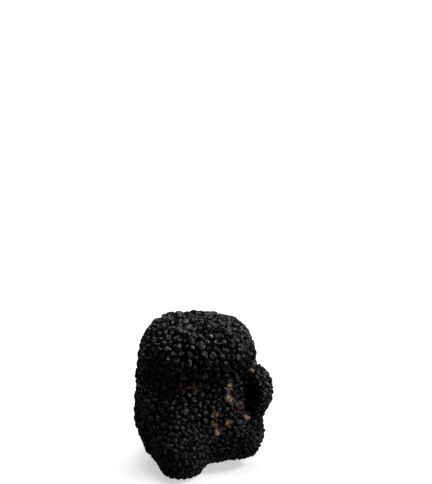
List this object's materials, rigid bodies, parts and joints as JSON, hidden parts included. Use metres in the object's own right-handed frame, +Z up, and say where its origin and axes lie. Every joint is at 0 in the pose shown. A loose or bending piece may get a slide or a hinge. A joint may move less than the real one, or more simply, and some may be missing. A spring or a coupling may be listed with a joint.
{
  "type": "black truffle",
  "caption": "Whole black truffle: a lobed lump with a foot and a side knob, covered all over in small pyramid-shaped warts.",
  "frame": {"origin": "the middle of the plan outline, on the surface that the truffle rests on", "axes": "+Z up; -Y towards the side with the foot and the knob; +X to the right as that side is seen"},
  "size_m": [0.027, 0.0278, 0.0287],
  "materials": {
    "rind": "near-black, half-glossy on the tops of the warts and matte in the grooves, with a few warts worn brown"
  },
  "bodies": {
    "root": {"truffle": "rind"}
  },
  "joints": []
}
